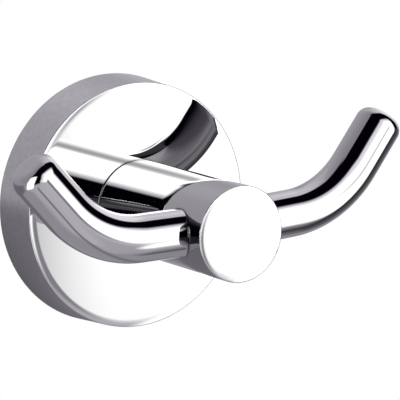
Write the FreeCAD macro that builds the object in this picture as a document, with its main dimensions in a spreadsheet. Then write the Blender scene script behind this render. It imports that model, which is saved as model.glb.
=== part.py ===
import FreeCAD, Part
import math
import os
import Sketcher

# Double robe hook, polished metal, fixed to a wall. Millimetres.
# The wall is the plane Y = 0, the post stands out along -Y, +Z is up and +X is to the right.
# The origin is the centre of the bracket's back face, on the wall.

doc = FreeCAD.newDocument("double_robe_hook")

SIZES = [
    ("flange_diameter", 53.6, "flange, across its front edge before rounding"),
    ("flange_flare", 1.6, "how much wider the flange is at the wall"),
    ("flange_depth", 11.8, "flange, from the wall to its front face"),
    ("flange_wall", 2.8, "flange side wall at its front edge"),
    ("flange_face", 2.6, "flange front plate thickness"),
    ("flange_crown", 1.55, "width of the ring in which the flange's face falls off"),
    ("flange_crown_drop", 0.105, "how far the face falls off towards its edge"),
    ("flange_rounding", 0.15, "flange front edge radius"),
    ("post_diameter", 20.0, "post"),
    ("post_length", 40.2, "post, from the flange face to its free end"),
    ("post_crown", 1.3, "width of the ring in which the post's end falls off"),
    ("post_crown_drop", 0.06, "how far the end falls off towards its edge"),
    ("post_rounding", 0.15, "post end edge radius"),
    ("post_root_rounding", 0.3, "post root edge radius"),
    ("post_spigot_diameter", 12.0, "locating spigot at the post's root"),
    ("post_spigot_length", 2.2, "locating spigot length"),
    ("arm_diameter", 10.0, "arm rod"),
    ("arm_setback", 9.1, "arm axis to the post's free end"),
    ("arm_rise", 1.4, "slope of an arm where it leaves the post, degrees"),
    ("arm_run", 18.4, "post axis to the start of the bend"),
    ("bend_radius", 22.8, "bend radius of the rod's axis"),
    ("bend_angle", 49.0, "angle of the bend, degrees"),
    ("tip_run", 12.5, "straight length after the bend"),
    ("tip_rounding", 2.7, "rounding of the rod's tip"),
    ("arm_spigot_diameter", 6.0, "spigot at an arm's root"),
    ("arm_spigot_length", 7.4, "spigot, measured from the post's surface"),
    ("arm_spigot_chamfer", 0.5, "chamfer at the spigot's end"),
    ("arm_seam", 0.05, "gap between an arm's shoulder and the post"),
    ("bracket_wall", 3.2, "bracket rim thickness"),
    ("bracket_plate", 2.5, "bracket plate thickness"),
    ("bracket_front_gap", 0.6, "bracket's front edge to the flange's inner face"),
    ("bracket_clearance", 0.2, "radial gap between bracket and flange"),
    ("bracket_window", 15.0, "bracket centre hole diameter"),
    ("groove_land", 1.3, "rim left between the groove and the bracket's front edge"),
    ("groove_depth", 1.2, "depth of the groove"),
    ("groove_floor", 1.0, "width of the groove's floor"),
    ("slot_web", 2.0, "metal between the centre hole and a fixing slot"),
    ("slot_width", 4.6, "fixing slot width"),
    ("slot_length", 8.0, "fixing slot length, end to end"),
    ("post_screw_diameter", 6.0, "post screw"),
    ("post_screw_reach", 11.0, "post screw inside the post"),
    ("post_screw_head", 10.5, "post screw head diameter"),
    ("post_screw_head_height", 3.3, "post screw head height"),
    ("post_screw_head_chamfer", 0.9, "chamfer round the post screw's head"),
    ("post_screw_point", 0.75, "chamfer at the post screw's point"),
    ("post_screw_socket", 4.0, "post screw socket across flats"),
    ("post_screw_socket_depth", 2.0, "post screw socket depth"),
    ("washer_diameter", 14.0, "washer"),
    ("washer_thickness", 1.2, "washer"),
    ("screw_hole_clearance", 0.2, "radial gap round the post screw's shank"),
    ("grub_diameter", 4.0, "grub screw"),
    ("grub_recess", 0.6, "grub screw below the flange's side wall"),
    ("grub_tip", 0.9, "diameter of the grub screw's flat tip"),
    ("grub_socket", 2.0, "grub screw socket across flats"),
    ("grub_socket_depth", 1.8, "grub screw socket depth"),
    ("fit_clearance", 0.05, "radial gap of spigots and screws in their bores"),
    ("bore_relief", 0.6, "gap past the end of a spigot or screw in its bore"),
    ("drill_point", 118.0, "included angle at the bottom of a drilled bore, degrees"),
]

sheet = doc.addObject("Spreadsheet::Sheet", "sizes")
for row, (alias, value, note) in enumerate(SIZES, 1):
    sheet.set(f"A{row}", alias)
    sheet.set(f"B{row}", str(value))
    sheet.set(f"C{row}", note)
    sheet.setAlias(f"B{row}", alias)
doc.recompute()

# Shared places, as formulas of the sheet's cells.
CAVITY_RADIUS = "(sizes.flange_diameter / 2 - sizes.flange_wall)"
CAVITY_DEPTH = "(sizes.flange_depth - sizes.flange_face)"
BRACKET_RADIUS = f"({CAVITY_RADIUS} - sizes.bracket_clearance)"
BRACKET_DEPTH = f"({CAVITY_DEPTH} - sizes.bracket_front_gap)"
GROOVE_RADIUS = f"({BRACKET_RADIUS} - sizes.groove_depth)"
GROOVE_MOUTH = "(sizes.groove_floor / 2 + sizes.groove_depth)"
GROOVE_OFFSET = f"({BRACKET_DEPTH} - sizes.groove_land - {GROOVE_MOUTH})"
POST_RADIUS = "(sizes.post_diameter / 2)"
ARM_RADIUS = "(sizes.arm_diameter / 2)"
ARM_STATION = "(sizes.post_length - sizes.arm_setback)"
ARM_SHOULDER = f"({POST_RADIUS} + sizes.arm_seam)"
SPIGOT_END = f"({POST_RADIUS} - sizes.arm_spigot_length)"
FLANGE_RADIUS_AT_GROOVE = (
    "(sizes.flange_diameter / 2 + sizes.flange_flare / 2"
    f" * (1 - {GROOVE_OFFSET} / sizes.flange_depth))"
)


def value_of(formula):
    """A formula's present value, in millimetres or degrees."""
    return float(sheet.evalExpression(formula))


def new_body(label):
    body = doc.addObject("PartDesign::Body", label)
    body.Label = label
    return body


def origin_plane(body, role):
    return next(plane for plane in body.Origin.OriginFeatures if plane.Role == role)


def new_sketch(body, name, role, offset=None):
    """An empty sketch on one of the body's origin planes, moved by an optional placement formula."""
    sketch = body.newObject("Sketcher::SketchObject", name)
    sketch.AttachmentSupport = [(origin_plane(body, role), "")]
    sketch.MapMode = "FlatFace"
    if offset:
        sketch.setExpression("AttachmentOffset", offset)
    return sketch


def set_size(sketch, constraint, formula):
    """Adds a constraint whose size follows a formula."""
    index = sketch.addConstraint(constraint)
    sketch.setExpression(f"Constraints[{index}]", formula)


def fix_point(sketch, geometry, point, x_formula, y_formula):
    """Ties one point of a sketch to a pair of formulas, or to an axis where the formula is 0."""
    for kind, axis, formula in (("DistanceX", -2, x_formula), ("DistanceY", -1, y_formula)):
        if formula == "0":
            sketch.addConstraint(Sketcher.Constraint("PointOnObject", geometry, point, axis))
            continue
        value = value_of(formula)
        set_size(sketch, Sketcher.Constraint(kind, -1, 1, geometry, point, value), formula)


def draw_polygon(sketch, corners, crowned=None):
    """A closed polygon whose corners are pairs of formulas.

    The side numbered crowned is an arc: it carries on from the side before it and bends left.
    """
    points = [FreeCAD.Vector(value_of(x), value_of(y), 0) for x, y in corners]
    count = len(points)
    for number in range(count):
        start = points[number]
        end = points[(number + 1) % count]
        if number == crowned:
            sketch.addGeometry(left_arc(start - points[number - 1], start, end), False)
        else:
            sketch.addGeometry(Part.LineSegment(start, end), False)
    for number in range(count):
        following = (number + 1) % count
        joint = "Tangent" if following == crowned else "Coincident"
        sketch.addConstraint(Sketcher.Constraint(joint, number, 2, following, 1))
        fix_point(sketch, number, 1, *corners[number])


def left_arc(direction, start, end):
    """The arc that leaves its start in the given direction and bends left to its end."""
    left = FreeCAD.Vector(-direction.y, direction.x, 0).normalize()
    chord = end - start
    radius = chord.Length**2 / (2 * chord.dot(left))
    centre = start + left * radius
    first, last = (math.atan2(point.y - centre.y, point.x - centre.x) for point in (start, end))
    circle = Part.Circle(centre, FreeCAD.Vector(0, 0, 1), radius)
    return Part.ArcOfCircle(circle, first, last)


def draw_circle(sketch, x_formula, y_formula, radius_formula):
    centre = FreeCAD.Vector(value_of(x_formula), value_of(y_formula), 0)
    up = FreeCAD.Vector(0, 0, 1)
    circle = sketch.addGeometry(Part.Circle(centre, up, value_of(radius_formula)), False)
    fix_point(sketch, circle, 3, x_formula, y_formula)
    radius = value_of(radius_formula)
    set_size(sketch, Sketcher.Constraint("Radius", circle, radius), radius_formula)


def draw_hexagon(sketch, flats_formula):
    """A hexagon about the origin, with two flats parallel to the sketch's x axis."""
    half = f"({flats_formula} / 2)"
    side = f"({flats_formula} / sqrt(3))"
    corners = [
        (side, "0"),
        (f"{side} / 2", half),
        (f"-{side} / 2", half),
        (f"-{side}", "0"),
        (f"-{side} / 2", f"-{half}"),
        (f"{side} / 2", f"-{half}"),
    ]
    draw_polygon(sketch, corners)


def turned(body, name, corners, axis="V_Axis", cut=False, offset=None, crowned=None):
    """A profile in the XY plane, revolved about one of its axes, added to the body or cut from it."""
    sketch = new_sketch(body, name + "_profile", "XY_Plane", offset)
    draw_polygon(sketch, corners, crowned)
    before = body.Tip.Shape.Volume if body.Tip else 0.0
    feature = body.newObject("PartDesign::Groove" if cut else "PartDesign::Revolution", name)
    feature.Profile = sketch
    feature.ReferenceAxis = (sketch, [axis])
    feature.Angle = 360.0
    doc.recompute()
    check_volume(feature, before, cut)
    return feature


def pocket(body, name, sketch, depth_formula=None, reverse=False):
    """Cuts a sketch away: to a depth, or both ways right through where no depth is given."""
    before = body.Tip.Shape.Volume
    feature = body.newObject("PartDesign::Pocket", name)
    feature.Profile = sketch
    if depth_formula:
        feature.setExpression("Length", depth_formula)
        feature.Reversed = reverse
    else:
        feature.Type = "ThroughAll"
        feature.Midplane = True
    doc.recompute()
    check_volume(feature, before, True)
    return feature


def check_volume(feature, before, cut):
    after = feature.Shape.Volume
    if (after >= before) if cut else (after <= before):
        raise RuntimeError(f"{feature.Label} changed the volume from {before:.2f} to {after:.2f}")


def round_edge(body, name, radius_formula, edge_radius_formula, centre_formulas):
    """Rounds the circular edge that has the given radius and centre."""
    base = body.Tip
    centre = FreeCAD.Vector(*(value_of(formula) for formula in centre_formulas))
    names = []
    for number, edge in enumerate(base.Shape.Edges, 1):
        if not isinstance(edge.Curve, Part.Circle):
            continue
        same_size = abs(edge.Curve.Radius - value_of(edge_radius_formula)) < 1e-4
        if same_size and (edge.Curve.Center - centre).Length < 1e-4:
            names.append(f"Edge{number}")
    if not names:
        raise RuntimeError(f"{name} found no edge to round")
    feature = body.newObject("PartDesign::Fillet", name)
    feature.Base = (base, names)
    feature.setExpression("Radius", radius_formula)
    doc.recompute()
    return feature


def make_wall_flange():
    """A hollow round cover: flared side wall, flat face that falls off softly, crisp front edge."""
    body = new_body("wall_flange")
    bore = "(sizes.post_spigot_diameter / 2 + sizes.fit_clearance)"
    front = "sizes.flange_diameter / 2"
    rear = "(sizes.flange_diameter + sizes.flange_flare) / 2"
    edge = "-(sizes.flange_depth - sizes.flange_crown_drop)"
    corners = [
        (bore, "-sizes.flange_depth"),
        (f"({front} - sizes.flange_crown)", "-sizes.flange_depth"),
        (front, edge),
        (rear, "0"),
        (CAVITY_RADIUS, "0"),
        (CAVITY_RADIUS, f"-{CAVITY_DEPTH}"),
        (bore, f"-{CAVITY_DEPTH}"),
    ]
    turned(body, "cup", corners, crowned=1)
    round_edge(body, "front_edge", "sizes.flange_rounding", front, ("0", edge, "0"))
    hole = new_sketch(body, "grub_hole_sketch", "XY_Plane")
    grub_bore = "sizes.grub_diameter / 2 + sizes.fit_clearance"
    draw_circle(hole, "0", f"-{GROOVE_OFFSET}", grub_bore)
    pocket(body, "grub_hole", hole, rear)
    return body


def make_post():
    """A plain round post with a locating spigot, a screw bore at its root and two cross bores."""
    body = new_body("post")
    spigot = "sizes.post_spigot_diameter / 2"
    edge = "-(sizes.post_length - sizes.post_crown_drop)"
    corners = [
        ("0", "-sizes.post_length"),
        (f"({POST_RADIUS} - sizes.post_crown)", "-sizes.post_length"),
        (POST_RADIUS, edge),
        (POST_RADIUS, "0"),
        (spigot, "0"),
        (spigot, "sizes.post_spigot_length"),
        ("0", "sizes.post_spigot_length"),
    ]
    turned(body, "bar", corners, crowned=1)
    round_edge(body, "end_edge", "sizes.post_rounding", POST_RADIUS, ("0", edge, "0"))
    round_edge(body, "root_edge", "sizes.post_root_rounding", POST_RADIUS, ("0", "0", "0"))
    screw_bore = "(sizes.post_screw_diameter / 2 + sizes.fit_clearance)"
    bore_end = "(sizes.post_screw_reach + sizes.bore_relief)"
    turned(body, "screw_bore", blind_bore(screw_bore, bore_end), cut=True)
    cross_bore = "(sizes.arm_spigot_diameter / 2 + sizes.fit_clearance)"
    for name, turn in (("right_bore", "0"), ("left_bore", "180")):
        inner = f"({SPIGOT_END} - sizes.bore_relief)"
        outer = "sizes.post_diameter"
        corners = [(inner, "0"), (inner, cross_bore), (outer, cross_bore), (outer, "0")]
        turned(body, name, corners, "H_Axis", True, arm_placement(turn, ARM_STATION))
    body.setExpression("Placement.Base.y", "-sizes.flange_depth")
    return body


def blind_bore(radius, depth):
    """Half the section of a drilled bore: open at the spigot's end, with a drill point at the bottom."""
    point = f"({radius} / tan(sizes.drill_point / 2))"
    return [
        ("0", "sizes.post_spigot_length"),
        (radius, "sizes.post_spigot_length"),
        (radius, f"-{depth}"),
        ("0", f"-({depth} + {point})"),
    ]


def arm_placement(turn, station):
    """Puts an arm's own frame on the post's axis, turned to its side and tilted up by its rise."""
    return (
        f"placement(vector(0; -{station}; 0); rotation(vector(0; 0; 1); {turn}))"
        " * placement(vector(0; 0; 0); rotation(vector(0; 1; 0); -sizes.arm_rise))"
    )


def draw_arm_path(sketch):
    """The rod's axis: a straight root, one bend upwards and a straight tip."""
    run = value_of("sizes.arm_run")
    radius = value_of("sizes.bend_radius")
    first = math.radians(-90)
    last = first + math.radians(value_of("sizes.bend_angle"))
    start = FreeCAD.Vector(0, 0, 0)
    bend_start = FreeCAD.Vector(run, 0, 0)
    bend_centre = FreeCAD.Vector(run, radius, 0)
    bend_end = FreeCAD.Vector(value_of(BEND_END_X), value_of(BEND_END_Z), 0)
    tip = FreeCAD.Vector(value_of(TIP_X), value_of(TIP_Z), 0)
    up = FreeCAD.Vector(0, 0, 1)
    root = sketch.addGeometry(Part.LineSegment(start, bend_start), False)
    circle = Part.Circle(bend_centre, up, radius)
    bend = sketch.addGeometry(Part.ArcOfCircle(circle, first, last), False)
    end = sketch.addGeometry(Part.LineSegment(bend_end, tip), False)
    fix_point(sketch, root, 1, "0", "0")
    fix_point(sketch, root, 2, "sizes.arm_run", "0")
    sketch.addConstraint(Sketcher.Constraint("Tangent", root, 2, bend, 1))
    sketch.addConstraint(Sketcher.Constraint("Tangent", bend, 2, end, 1))
    set_size(sketch, Sketcher.Constraint("Radius", bend, radius), "sizes.bend_radius")
    slope = math.radians(value_of("sizes.bend_angle"))
    set_size(sketch, Sketcher.Constraint("Angle", end, slope), "sizes.bend_angle")
    length = value_of("sizes.tip_run")
    set_size(sketch, Sketcher.Constraint("Distance", end, length), "sizes.tip_run")


BEND_END_X = "(sizes.arm_run + sizes.bend_radius * sin(sizes.bend_angle))"
BEND_END_Z = "(sizes.bend_radius * (1 - cos(sizes.bend_angle)))"
TIP_X = f"({BEND_END_X} + sizes.tip_run * cos(sizes.bend_angle))"
TIP_Z = f"({BEND_END_Z} + sizes.tip_run * sin(sizes.bend_angle))"


def make_arm(label, turn):
    """A bent round rod: rounded tip, shoulder coped to the post's side, spigot for the cross bore."""
    body = new_body(label)
    path = new_sketch(body, label + "_path", "XZ_Plane")
    draw_arm_path(path)
    section = new_sketch(body, label + "_section", "YZ_Plane")
    draw_circle(section, "0", "0", ARM_RADIUS)
    doc.recompute()
    rod = body.newObject("PartDesign::AdditivePipe", label + "_rod")
    rod.Profile = section
    rod.Spine = (path, ["Edge1", "Edge2", "Edge3"])
    doc.recompute()
    tip_centre = (TIP_X, "0", TIP_Z)
    round_edge(body, label + "_tip", "sizes.tip_rounding", ARM_RADIUS, tip_centre)
    cope = [
        ("0", "-sizes.arm_diameter"),
        (ARM_SHOULDER, "-sizes.arm_diameter"),
        (ARM_SHOULDER, "sizes.arm_diameter"),
        ("0", "sizes.arm_diameter"),
    ]
    turned(body, label + "_cope", cope, cut=True)
    spigot = "(sizes.arm_spigot_diameter / 2)"
    pin = [
        (SPIGOT_END, "0"),
        (SPIGOT_END, f"({spigot} - sizes.arm_spigot_chamfer)"),
        (f"({SPIGOT_END} + sizes.arm_spigot_chamfer)", spigot),
        ("sizes.arm_run", spigot),
        ("sizes.arm_run", "0"),
    ]
    turned(body, label + "_spigot", pin, "H_Axis")
    station = f"(sizes.flange_depth + {ARM_STATION})"
    body.setExpression("Placement", arm_placement(turn, station))
    return body


def make_wall_bracket():
    """A turned plate with a raised rim, a V-groove round the rim and two slots for the wall screws."""
    body = new_body("wall_bracket")
    inner = f"({BRACKET_RADIUS} - sizes.bracket_wall)"
    window = "sizes.bracket_window / 2"
    middle = GROOVE_OFFSET
    floor = "sizes.groove_floor / 2"
    corners = [
        (window, "0"),
        (BRACKET_RADIUS, "0"),
        (BRACKET_RADIUS, f"-({middle} - {GROOVE_MOUTH})"),
        (GROOVE_RADIUS, f"-({middle} - {floor})"),
        (GROOVE_RADIUS, f"-({middle} + {floor})"),
        (BRACKET_RADIUS, f"-({middle} + {GROOVE_MOUTH})"),
        (BRACKET_RADIUS, f"-{BRACKET_DEPTH}"),
        (inner, f"-{BRACKET_DEPTH}"),
        (inner, "-sizes.bracket_plate"),
        (window, "-sizes.bracket_plate"),
    ]
    turned(body, "bracket_ring", corners)
    slot = new_sketch(body, "slot_sketch", "XZ_Plane")
    draw_slot(slot)
    right_slot = pocket(body, "right_slot", slot)
    before = right_slot.Shape.Volume
    both_slots = body.newObject("PartDesign::Mirrored", "both_slots")
    both_slots.Originals = [right_slot]
    both_slots.MirrorPlane = (origin_plane(body, "YZ_Plane"), [""])
    body.Tip = both_slots
    doc.recompute()
    check_volume(both_slots, before, True)
    return body


def draw_slot(sketch):
    """A slot along the x axis: two half circles joined by two lines."""
    half_width = value_of("sizes.slot_width / 2")
    near = value_of(SLOT_NEAR)
    far = value_of(SLOT_FAR)
    up = FreeCAD.Vector(0, 0, 1)
    right_angle = math.radians(90)
    near_circle = Part.Circle(FreeCAD.Vector(near, 0, 0), up, half_width)
    far_circle = Part.Circle(FreeCAD.Vector(far, 0, 0), up, half_width)
    near_arc = Part.ArcOfCircle(near_circle, right_angle, 3 * right_angle)
    far_arc = Part.ArcOfCircle(far_circle, -right_angle, right_angle)
    near_low = FreeCAD.Vector(near, -half_width, 0)
    far_low = FreeCAD.Vector(far, -half_width, 0)
    near_high = FreeCAD.Vector(near, half_width, 0)
    far_high = FreeCAD.Vector(far, half_width, 0)
    sketch.addGeometry(near_arc, False)
    sketch.addGeometry(Part.LineSegment(near_low, far_low), False)
    sketch.addGeometry(far_arc, False)
    sketch.addGeometry(Part.LineSegment(far_high, near_high), False)
    for number, following in ((0, 1), (1, 2), (2, 3), (3, 0)):
        sketch.addConstraint(Sketcher.Constraint("Tangent", number, 2, following, 1))
    fix_point(sketch, 0, 3, SLOT_NEAR, "0")
    fix_point(sketch, 2, 3, SLOT_FAR, "0")
    set_size(sketch, Sketcher.Constraint("Radius", 0, half_width), "sizes.slot_width / 2")


SLOT_START = "(sizes.bracket_window / 2 + sizes.slot_web)"
SLOT_NEAR = f"({SLOT_START} + sizes.slot_width / 2)"
SLOT_FAR = f"({SLOT_START} + sizes.slot_length - sizes.slot_width / 2)"


def make_screw_washer():
    """A flat washer on the flange's inner face."""
    body = new_body("screw_washer")
    hole = "(sizes.post_screw_diameter / 2 + sizes.screw_hole_clearance)"
    rim = "sizes.washer_diameter / 2"
    corners = [
        (hole, "0"),
        (rim, "0"),
        (rim, "sizes.washer_thickness"),
        (hole, "sizes.washer_thickness"),
    ]
    turned(body, "washer_ring", corners)
    body.setExpression("Placement.Base.y", f"-{CAVITY_DEPTH}")
    return body


def make_post_screw():
    """A low-headed screw with a hexagon socket, its head on the washer and its shank in the post."""
    body = new_body("post_screw")
    shank = "sizes.post_screw_diameter / 2"
    head = "sizes.post_screw_head / 2"
    tip = "(sizes.washer_thickness + sizes.flange_face + sizes.post_screw_reach)"
    corners = [
        ("0", "sizes.post_screw_head_height"),
        (f"({head} - sizes.post_screw_head_chamfer)", "sizes.post_screw_head_height"),
        (head, "(sizes.post_screw_head_height - sizes.post_screw_head_chamfer)"),
        (head, "0"),
        (shank, "0"),
        (shank, f"-({tip} - sizes.post_screw_point)"),
        (f"({shank} - sizes.post_screw_point)", f"-{tip}"),
        ("0", f"-{tip}"),
    ]
    turned(body, "screw_form", corners)
    socket = new_sketch(body, "socket_sketch", "XZ_Plane", socket_offset())
    draw_hexagon(socket, "sizes.post_screw_socket")
    pocket(body, "socket", socket, "sizes.post_screw_socket_depth", True)
    seat = f"-({CAVITY_DEPTH} - sizes.washer_thickness)"
    body.setExpression("Placement.Base.y", seat)
    return body


def socket_offset():
    """The sketch plane at the top of the screw's head."""
    return "placement(vector(0; 0; -sizes.post_screw_head_height); rotation(vector(0; 0; 1); 0))"


def make_grub_screw():
    """A socket set screw pointing up through the flange's underside, its cone in the groove."""
    body = new_body("grub_screw")
    radius = "(sizes.grub_diameter / 2)"
    tip = "(sizes.grub_tip / 2)"
    cone = f"({radius} - {tip})"
    reach = f"({FLANGE_RADIUS_AT_GROOVE} - sizes.grub_recess - {GROOVE_RADIUS} - sizes.fit_clearance)"
    corners = [
        ("0", "0"),
        (radius, "0"),
        (radius, f"({reach} - {cone})"),
        (tip, reach),
        ("0", reach),
    ]
    turned(body, "grub_form", corners)
    socket = new_sketch(body, "grub_socket_sketch", "XZ_Plane")
    draw_hexagon(socket, "sizes.grub_socket")
    pocket(body, "grub_socket_cut", socket, "sizes.grub_socket_depth", False)
    height = f"({FLANGE_RADIUS_AT_GROOVE} - sizes.grub_recess)"
    place = (
        f"placement(vector(0; -{GROOVE_OFFSET}; -{height}); rotation(vector(1; 0; 0); 90))"
    )
    body.setExpression("Placement", place)
    return body


def check_document():
    for item in doc.Objects:
        if "Invalid" in item.State or "Error" in item.State:
            raise RuntimeError(f"{item.Label} is in state {item.State}")


def write_parts(bodies):
    os.makedirs("parts", exist_ok=True)
    for body in bodies:
        shape = body.Shape
        if shape.isNull() or not shape.isValid() or len(shape.Solids) != 1:
            raise RuntimeError(f"{body.Label} is not one valid solid")
    for body in bodies:
        body.Shape.exportStep(os.path.join("parts", body.Label + ".step"))
        print(f"{body.Label}: {body.Shape.Volume:.1f} mm3")


bodies = [
    make_wall_flange(),
    make_post(),
    make_arm("right_arm", "0"),
    make_arm("left_arm", "180"),
    make_wall_bracket(),
    make_screw_washer(),
    make_post_screw(),
    make_grub_screw(),
]
doc.recompute()
check_document()
write_parts(bodies)
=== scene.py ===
import math
from collections import namedtuple

import bpy
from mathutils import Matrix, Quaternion, Vector

# A double robe hook in bright chrome, in a studio of soft light panels.
# Metres, in the part's own frame: the wall is Y = 0, the post points along -Y, +Z is up.

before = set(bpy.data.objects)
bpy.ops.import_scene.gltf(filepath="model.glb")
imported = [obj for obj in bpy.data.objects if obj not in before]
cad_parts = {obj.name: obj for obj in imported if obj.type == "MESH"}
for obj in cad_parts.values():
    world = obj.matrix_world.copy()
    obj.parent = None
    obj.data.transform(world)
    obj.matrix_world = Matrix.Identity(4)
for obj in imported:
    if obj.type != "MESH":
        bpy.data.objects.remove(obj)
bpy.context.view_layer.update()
scene = bpy.context.scene

# Camera, as measured from the photograph's outlines; the lens and the sensor are in millimetres.
CAMERA_AZIMUTH = math.radians(-32.40)
CAMERA_ELEVATION = math.radians(11.174)
CAMERA_ROLL = math.radians(-2.086)
CAMERA_PLACE = Vector((-0.26062, -0.44747, 0.10097))
FOCAL_LENGTH = 214.93
SENSOR_WIDTH = 36.0
NEAR_CLIP = 0.01
FAR_CLIP = 10.0

# Studio. A level is the linear brightness that reads after one reflection in the chrome.
CHROME_REFLECTANCE = 0.60
SURROUND_LEVEL = 0.258
WHITE_LEVEL = 1.0
# How the greys and blacks differ from neutral, in red, green and blue as they read in the picture.
COOL_SHIFT = (-0.0015, -0.0116, 0.0131)
# The depth of a ray at the studio is above this once the hook has reflected it twice or more.
SECOND_REFLECTION = 2.5

# Panels of the studio, as angles in degrees seen from the object. Across, 0 is straight out from
# the wall and 90 is along +X; upwards, 0 is level. A later panel stands in front of the ones before
# it. Sides and ends are the angles of a panel's edges across and upwards, softness is that of the
# sides and of the ends, and level is that of the first and of the last side.
# A second panel is seen only by light that the hook has reflected at least twice.
Panel = namedtuple("Panel", "name sides ends softness level second", defaults=(False,))
PANELS = [
    Panel("wall_high_left", (-205, -95), (12, 95), (12, 14), (0.320, 0.215)),
    Panel("wall_low_left", (-185, -100), (-50, -4), (12, 5), (0.137, 0.132)),
    Panel("floor_front", (-95, 50), (-68, -12), (10, 8), (0.330, 0.440)),
    Panel("floor_near", (14, 42), (-74, -26), (8, 6), (0.355, 0.330)),
    Panel("floor_right", (50, 175), (-60, -30), (10, 12), (0.205, 0.240)),
    Panel("wall_right", (96, 144), (-5, 78), (6, 14), (0.503, 0.503)),
    Panel("wall_high_right", (140, 185), (38, 80), (8, 10), (0.48, 0.36)),
    Panel("wall_low_back", (138, 212), (-42, -14), (8, 8), (0.115, 0.125)),
    Panel("dark_room", (-92, 97), (-14, 95), (3, 6), (0.0012, 0.0012)),
    Panel("dark_top", (-108, 60), (61, 95), (8, 8), (0.0012, 0.0012)),
    Panel("deep_shade", (-196, -50), (8, 95), (24, 12), (0.095, 0.003), second=True),
    Panel("right_box", (101, 132), (12, 48), (5, 8), (0.70, 0.70)),
    Panel("left_box", (-88, -50), (-38, 37), (4, 4), (1.3, 1.3)),
    Panel("key_edge", (-18.0, 60.5), (-16, 45.5), (4.4, 5), (0.69, 0.60)),
    Panel("key_core", (1, 53), (-12, 31), (10, 10), (1.8, 1.8)),
    Panel("inside_rim", (-21.4, 60), (8, 40), (1.2, 5), (0.52, 0.52), second=True),
    Panel("key_inside", (-16.5, 60), (8, 40), (5.5, 5), (2.2, 2.2), second=True),
    Panel("inside_top", (6, 66), (37, 95), (6, 5), (0.055, 0.045), second=True),
    Panel("inside_low", (-95, -22), (-54, -8), (8, 5), (0.02, 0.02), second=True),
    Panel("inside_floor", (-12, 40), (-60, -32), (8, 5), (0.225, 0.25), second=True),
    Panel("key_foot", (32.5, 64), (-36, -5), (2, 6), (1.3, 1.3)),
    Panel("low_flag", (60, 112), (-57, -6), (4, 4), (0.020, 0.110)),
    Panel("flag_foot", (51, 68), (-62, -40), (6, 5), (0.170, 0.060)),
    Panel("key_middle", (17, 31), (-15, 30), (4, 4), (1.02, 1.02)),
    Panel("key_seam", (22.4, 26.6), (-8, 2), (2.4, 6), (0.300, 0.300)),
    Panel("seam_inside", (19.8, 27.2), (-8, 26), (3, 5), (0.50, 0.50), second=True),
    Panel("seam_foot", (19.2, 28.5), (-19.5, -9), (2.0, 3), (0.215, 0.215)),
]
# A panel whose half width is at least this goes round the object; a narrower one is flat.
WIDE_PANEL = 80

# The leg of a stand: a thin band that runs from low in front to straight under the object, in the
# plane square to LEG_ACROSS. Angles are in degrees.
LEG_ACROSS = Vector((0.856, -0.487, 0.173))
LEG_HALF_WIDTH = 3.2
LEG_SOFTNESS = 2.2
LEG_TOP = -38
LEG_TOP_SOFTNESS = 6
LEG_LEVEL = 0.165

# A pale round floor, well below the hook.
FLOOR_DROP = 0.30
FLOOR_RADIUS = 0.60
FLOOR_CORNERS = 96
FLOOR_COLOUR = (0.94, 0.94, 0.95, 1.0)
FLOOR_ROUGHNESS = 0.8

# The metals: their colour, the range of their roughness, how fine the patches of roughness and the
# bumps are, and how deep the bumps are.
Metal = namedtuple("Metal", "colour roughness patch_scale bump_scale bump_depth")
BRIGHT_CHROME = Metal((CHROME_REFLECTANCE,) * 3, (0.003, 0.012), 60.0, 150.0, 0.000001)
CAST_ZINC = Metal((0.50, 0.50, 0.51), (0.30, 0.50), 300.0, 900.0, 0.00002)
PLATED_STEEL = Metal((0.56, 0.56, 0.58), (0.18, 0.32), 400.0, 1500.0, 0.000006)

# The chrome's edges: the radius over which their roundings are evened out. Its seams, painted shade:
# how near another surface has to be for the colour to darken, and how bright it stays where they touch.
EDGE_RADIUS = 0.0004
EDGE_SAMPLES = 12
SEAM_REACH = 0.0006
SEAM_SAMPLES = 8
SEAM_SHADE = 0.0

# The flange's satin side is where a surface faces along the post by less than SATIN_FACING. It has a
# rubbed roughness, a clouded brightness and a soft painted shadow that grows towards the wall and
# downwards.
SATIN_FACING = 0.5
RUBBED_SCALE = 900.0
RUBBED_DETAIL = 4.0
RUBBED_ROUGHNESS = (0.12, 0.30)
CLOUD_SCALE = 800.0
CLOUD_DETAIL = 8.0
CLOUD_BRIGHTNESS = (0.95, 1.31)
SHADOW_DEPTH = 0.42
SHADOW_FRONT = -0.0105
SHADOW_BACK = -0.001
SHADOW_TOP = 0.004
SHADOW_FOOT = -0.020

# The turned bracket: the pitch and depth of its rings, and the dull patches of its plating.
TURNED_PITCH = 0.00045
TURNED_DEPTH = 0.00001
RING_WOBBLE = 0.6
# The wave texture makes a ring every 2 pi / 20 at a scale of 1.
RING_SPACING = 2 * math.pi / 20
DULL_PART = 0.78
DULL_SCALE = 160.0
DULL_DETAIL = 4.0


def math_node(tree, operation, *values):
    """A math node fed by numbers or sockets; gives its output."""
    node = tree.nodes.new("ShaderNodeMath")
    node.operation = operation
    for socket, value in zip(node.inputs, values):
        if isinstance(value, bpy.types.NodeSocket):
            tree.links.new(value, socket)
        else:
            socket.default_value = value
    return node.outputs[0]


def product(tree, *values):
    """The product of numbers or sockets."""
    total = values[0]
    for value in values[1:]:
        total = math_node(tree, "MULTIPLY", total, value)
    return total


def flipped(tree, value):
    """One minus a value."""
    return math_node(tree, "SUBTRACT", 1.0, value)


def soft_step(tree, value, middle, softness):
    """Rises smoothly from 0 to 1 about an angle; both are in degrees, the value is in radians."""
    node = tree.nodes.new("ShaderNodeMapRange")
    node.interpolation_type = "SMOOTHSTEP"
    tree.links.new(value, node.inputs["Value"])
    node.inputs["From Min"].default_value = math.radians(middle - softness)
    node.inputs["From Max"].default_value = math.radians(middle + softness)
    return node.outputs["Result"]


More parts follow.
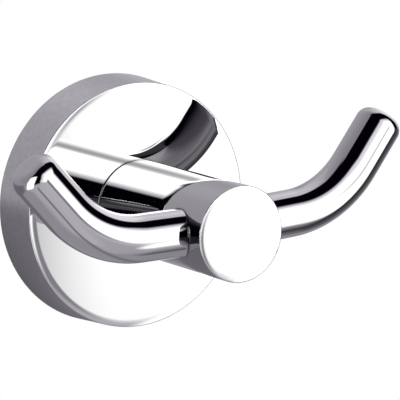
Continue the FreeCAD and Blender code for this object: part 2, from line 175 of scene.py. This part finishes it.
def spread(tree, value, low, high):
    """Maps a pattern from 0..1 to low..high."""
    node = tree.nodes.new("ShaderNodeMapRange")
    tree.links.new(value, node.inputs["Value"])
    node.inputs["To Min"].default_value = low
    node.inputs["To Max"].default_value = high
    return node.outputs["Result"]


def ramp(tree, value, start, end):
    """Rises evenly from 0 at the start to 1 at the end."""
    node = tree.nodes.new("ShaderNodeMapRange")
    tree.links.new(value, node.inputs["Value"])
    node.inputs["From Min"].default_value = start
    node.inputs["From Max"].default_value = end
    return node.outputs["Result"]


def mix_colours(tree, factor, first, second):
    """Mixes two colours, each a socket or four numbers."""
    node = tree.nodes.new("ShaderNodeMix")
    node.data_type = "RGBA"
    sockets = [socket for socket in node.inputs if socket.type == "RGBA"]
    for socket, colour in zip(sockets, (first, second)):
        if isinstance(colour, bpy.types.NodeSocket):
            tree.links.new(colour, socket)
        else:
            socket.default_value = colour
    tree.links.new(factor, node.inputs["Factor"])
    return next(socket for socket in node.outputs if socket.type == "RGBA")


def to_picture(light):
    """The brightness in the picture, from 0 to 1, of an amount of light, by the sRGB curve."""
    return 12.92 * light if light <= 0.0031308 else 1.055 * light ** (1 / 2.4) - 0.055


def to_light(brightness):
    """The amount of light that gives a brightness in the picture."""
    return brightness / 12.92 if brightness <= 0.04045 else ((brightness + 0.055) / 1.055) ** 2.4


def level_colour(level):
    """The light that reads as the given level in the chrome: all but the whites are slightly cool."""
    if level < WHITE_LEVEL:
        shades = [to_light(to_picture(level) + shift) for shift in COOL_SHIFT]
    else:
        shades = [level] * 3
    return tuple(shade / CHROME_REFLECTANCE for shade in shades) + (1.0,)


def panel_angles(tree, axes, panel):
    """The angle across a panel from its middle and the angle upwards, with the panel's half width."""
    middle = math.radians(sum(panel.sides) / 2)
    half = (panel.sides[1] - panel.sides[0]) / 2
    x, y, z = axes
    facing = math_node(
        tree, "ADD",
        product(tree, x, math.sin(middle)),
        product(tree, y, -math.cos(middle)),
    )
    across = math_node(
        tree, "ADD",
        product(tree, x, math.cos(middle)),
        product(tree, y, math.sin(middle)),
    )
    aside = math_node(tree, "ARCTAN2", across, facing)
    # The top of a flat panel sinks towards its sides.
    if half < WIDE_PANEL:
        height = math_node(tree, "ARCTAN2", z, facing)
    else:
        height = math_node(tree, "ARCSINE", z)
    return aside, height, half


def add_panel(tree, axes, panel, behind, is_second):
    """Sets one panel in front of the colour behind it."""
    aside, height, half = panel_angles(tree, axes, panel)
    side_softness, end_softness = panel.softness
    low, high = panel.ends
    distance = math_node(tree, "ABSOLUTE", aside)
    within = flipped(tree, soft_step(tree, distance, half, side_softness))
    above = soft_step(tree, height, low, end_softness)
    below = flipped(tree, soft_step(tree, height, high, end_softness))
    mask = product(tree, within, above, below)
    if panel.second:
        mask = product(tree, mask, is_second)
    first, last = (level_colour(level) for level in panel.level)
    colour = mix_colours(tree, soft_step(tree, aside, 0, half), first, last)
    colour.node.label = panel.name
    return mix_colours(tree, mask, behind, colour)


def add_leg(tree, direction, height, behind):
    """Sets the stand's leg in front of the colour behind it."""
    dot = tree.nodes.new("ShaderNodeVectorMath")
    dot.operation = "DOT_PRODUCT"
    tree.links.new(direction, dot.inputs[0])
    dot.inputs[1].default_value = LEG_ACROSS
    offset = math_node(tree, "ABSOLUTE", math_node(tree, "ARCSINE", dot.outputs["Value"]))
    within = flipped(tree, soft_step(tree, offset, LEG_HALF_WIDTH, LEG_SOFTNESS))
    below = flipped(tree, soft_step(tree, height, LEG_TOP, LEG_TOP_SOFTNESS))
    return mix_colours(tree, product(tree, within, below), behind, level_colour(LEG_LEVEL))


def build_studio():
    """The light: soft panels all round, and plain white where the camera looks past the object."""
    world = bpy.data.worlds.new("studio")
    scene.world = world
    world.use_nodes = True
    tree = world.node_tree
    tree.nodes.clear()
    direction = tree.nodes.new("ShaderNodeTexCoord").outputs["Generated"]
    split = tree.nodes.new("ShaderNodeSeparateXYZ")
    tree.links.new(direction, split.inputs[0])
    axes = tuple(split.outputs)
    rays = tree.nodes.new("ShaderNodeLightPath")
    is_second = math_node(tree, "GREATER_THAN", rays.outputs["Ray Depth"], SECOND_REFLECTION)
    colour = level_colour(SURROUND_LEVEL)
    for panel in PANELS:
        colour = add_panel(tree, axes, panel, colour, is_second)
    colour = add_leg(tree, direction, math_node(tree, "ARCSINE", axes[2]), colour)
    light = tree.nodes.new("ShaderNodeBackground")
    tree.links.new(colour, light.inputs["Color"])
    white = tree.nodes.new("ShaderNodeBackground")
    white.inputs["Color"].default_value = (1.0, 1.0, 1.0, 1.0)
    choose = tree.nodes.new("ShaderNodeMixShader")
    tree.links.new(rays.outputs["Is Camera Ray"], choose.inputs[0])
    tree.links.new(light.outputs[0], choose.inputs[1])
    tree.links.new(white.outputs[0], choose.inputs[2])
    output = tree.nodes.new("ShaderNodeOutputWorld")
    tree.links.new(choose.outputs[0], output.inputs["Surface"])


def place_camera():
    """The camera, where the outlines in the photograph put it."""
    camera = bpy.data.objects.new("camera", bpy.data.cameras.new("camera"))
    scene.collection.objects.link(camera)
    camera.data.sensor_width = SENSOR_WIDTH
    camera.data.lens = FOCAL_LENGTH
    camera.data.clip_start = NEAR_CLIP
    camera.data.clip_end = FAR_CLIP
    flat = math.cos(CAMERA_ELEVATION)
    back = Vector((
        math.sin(CAMERA_AZIMUTH) * flat,
        -math.cos(CAMERA_AZIMUTH) * flat,
        math.sin(CAMERA_ELEVATION),
    ))
    aim = (-back).to_track_quat("-Z", "Y")
    camera.location = CAMERA_PLACE
    camera.rotation_mode = "QUATERNION"
    camera.rotation_quaternion = aim @ Quaternion((0, 0, 1), CAMERA_ROLL)
    scene.camera = camera


def lay_floor():
    """The floor, which the chrome doesn't mirror."""
    ring = [
        (FLOOR_RADIUS * math.cos(turn), FLOOR_RADIUS * math.sin(turn), -FLOOR_DROP)
        for turn in (2 * math.pi * number / FLOOR_CORNERS for number in range(FLOOR_CORNERS))
    ]
    mesh = bpy.data.meshes.new("floor")
    mesh.from_pydata(ring, [], [tuple(range(FLOOR_CORNERS))])
    floor = bpy.data.objects.new("floor", mesh)
    scene.collection.objects.link(floor)
    floor.visible_glossy = False
    material = bpy.data.materials.new("pale_floor")
    material.use_nodes = True
    shader = material.node_tree.nodes["Principled BSDF"]
    shader.inputs["Base Color"].default_value = FLOOR_COLOUR
    shader.inputs["Roughness"].default_value = FLOOR_ROUGHNESS
    mesh.materials.append(material)


def noise(tree, scale, detail=2.0):
    """A noise pattern in the part's own coordinates."""
    place = tree.nodes.new("ShaderNodeTexCoord")
    pattern = tree.nodes.new("ShaderNodeTexNoise")
    pattern.inputs["Scale"].default_value = scale
    pattern.inputs["Detail"].default_value = detail
    tree.links.new(place.outputs["Object"], pattern.inputs["Vector"])
    return pattern.outputs["Fac"]


def metal(name, finish):
    """A bare or plated metal: roughness wanders a little, and a fine bump breaks up its reflections."""
    material = bpy.data.materials.new(name)
    material.use_nodes = True
    tree = material.node_tree
    shader = tree.nodes["Principled BSDF"]
    shader.inputs["Base Color"].default_value = finish.colour + (1.0,)
    shader.inputs["Metallic"].default_value = 1.0
    roughness = spread(tree, noise(tree, finish.patch_scale), *finish.roughness)
    tree.links.new(roughness, shader.inputs["Roughness"])
    bump = tree.nodes.new("ShaderNodeBump")
    bump.inputs["Strength"].default_value = 1.0
    bump.inputs["Distance"].default_value = finish.bump_depth
    tree.links.new(noise(tree, finish.bump_scale), bump.inputs["Height"])
    tree.links.new(bump.outputs[0], shader.inputs["Normal"])
    return material


def paint_seam_shade(material):
    """Evens out the tiny edge roundings and paints shade into the chrome's colour within the narrowest
    gaps.
    """
    tree = material.node_tree
    shader = tree.nodes["Principled BSDF"]
    edge = tree.nodes.new("ShaderNodeBevel")
    edge.samples = EDGE_SAMPLES
    edge.inputs["Radius"].default_value = EDGE_RADIUS
    bump = shader.inputs["Normal"].links[0].from_node
    tree.links.new(edge.outputs[0], bump.inputs["Normal"])
    # Painted shade: the colour goes towards black wherever another surface is near, as in the seams.
    open_sky = tree.nodes.new("ShaderNodeAmbientOcclusion")
    open_sky.samples = SEAM_SAMPLES
    open_sky.inputs["Distance"].default_value = SEAM_REACH
    light = spread(tree, open_sky.outputs["AO"], SEAM_SHADE, 1.0)
    colour = shader.inputs["Base Color"].default_value[:]
    black = (0.0, 0.0, 0.0, 1.0)
    tree.links.new(mix_colours(tree, light, black, colour), shader.inputs["Base Color"])


def satin_and_painted_shadow(material):
    """Makes the chrome satin where a surface faces sideways, as on the flange's rim, and paints a soft
    shadow there.
    """
    tree = material.node_tree
    shader = tree.nodes["Principled BSDF"]
    geometry = tree.nodes.new("ShaderNodeNewGeometry")
    split = tree.nodes.new("ShaderNodeSeparateXYZ")
    tree.links.new(geometry.outputs["Normal"], split.inputs[0])
    facing = math_node(tree, "ABSOLUTE", split.outputs["Y"])
    side = math_node(tree, "LESS_THAN", facing, SATIN_FACING)

    polished = shader.inputs["Roughness"].links[0].from_socket
    rubbed = spread(tree, noise(tree, RUBBED_SCALE, RUBBED_DETAIL), *RUBBED_ROUGHNESS)
    mix = tree.nodes.new("ShaderNodeMix")
    tree.links.new(side, mix.inputs["Factor"])
    tree.links.new(polished, mix.inputs["A"])
    tree.links.new(rubbed, mix.inputs["B"])
    tree.links.new(mix.outputs["Result"], shader.inputs["Roughness"])

    clouds = spread(tree, noise(tree, CLOUD_SCALE, CLOUD_DETAIL), *CLOUD_BRIGHTNESS)
    # Painted shadow: the side's colour darkens towards the wall and downwards.
    place = tree.nodes.new("ShaderNodeSeparateXYZ")
    tree.links.new(tree.nodes.new("ShaderNodeTexCoord").outputs["Object"], place.inputs[0])
    near_wall = ramp(tree, place.outputs["Y"], SHADOW_FRONT, SHADOW_BACK)
    low = ramp(tree, place.outputs["Z"], SHADOW_TOP, SHADOW_FOOT)
    shadow = product(tree, near_wall, low, SHADOW_DEPTH)
    brightness = product(tree, clouds, flipped(tree, shadow))
    change = product(tree, side, math_node(tree, "SUBTRACT", brightness, 1.0))
    shade = tree.nodes.new("ShaderNodeVectorMath")
    shade.operation = "SCALE"
    base = shader.inputs["Base Color"]
    tree.links.new(base.links[0].from_socket, shade.inputs[0])
    tree.links.new(math_node(tree, "ADD", 1.0, change), shade.inputs["Scale"])
    tree.links.new(shade.outputs[0], base)


def turned(material):
    """Fine rings about the post's axis, as a lathe leaves them, over the metal's own grain."""
    tree = material.node_tree
    place = tree.nodes.new("ShaderNodeTexCoord")
    rings = tree.nodes.new("ShaderNodeTexWave")
    rings.wave_type = "RINGS"
    rings.rings_direction = "Y"
    rings.inputs["Scale"].default_value = RING_SPACING / TURNED_PITCH
    rings.inputs["Distortion"].default_value = RING_WOBBLE
    tree.links.new(place.outputs["Object"], rings.inputs["Vector"])
    cut = tree.nodes.new("ShaderNodeBump")
    cut.inputs["Distance"].default_value = TURNED_DEPTH
    tree.links.new(rings.outputs["Fac"], cut.inputs["Height"])
    shader = tree.nodes["Principled BSDF"]
    grain = shader.inputs["Normal"].links[0].from_node
    tree.links.new(cut.outputs[0], grain.inputs["Normal"])
    colour = shader.inputs["Base Color"].default_value[:]
    dull = tuple(DULL_PART * part for part in colour[:3]) + (1.0,)
    patches = noise(tree, DULL_SCALE, DULL_DETAIL)
    tree.links.new(mix_colours(tree, patches, colour, dull), shader.inputs["Base Color"])


def dress(node, material):
    """Gives one piece of the hook its material."""
    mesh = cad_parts[node].data
    mesh.materials.clear()
    mesh.materials.append(material)


scene.view_settings.view_transform = "Standard"
place_camera()
build_studio()
lay_floor()

chrome = metal("bright_chrome", BRIGHT_CHROME)
zinc = metal("cast_zinc", CAST_ZINC)
steel = metal("plated_steel", PLATED_STEEL)
flange_chrome = metal("flange_chrome", BRIGHT_CHROME)

paint_seam_shade(chrome)
paint_seam_shade(flange_chrome)
satin_and_painted_shadow(flange_chrome)
turned(zinc)

dress("wall_flange", flange_chrome)
for node in ("post", "right_arm", "left_arm"):
    dress(node, chrome)
dress("wall_bracket", zinc)
for node in ("screw_washer", "post_screw", "grub_screw"):
    dress(node, steel)
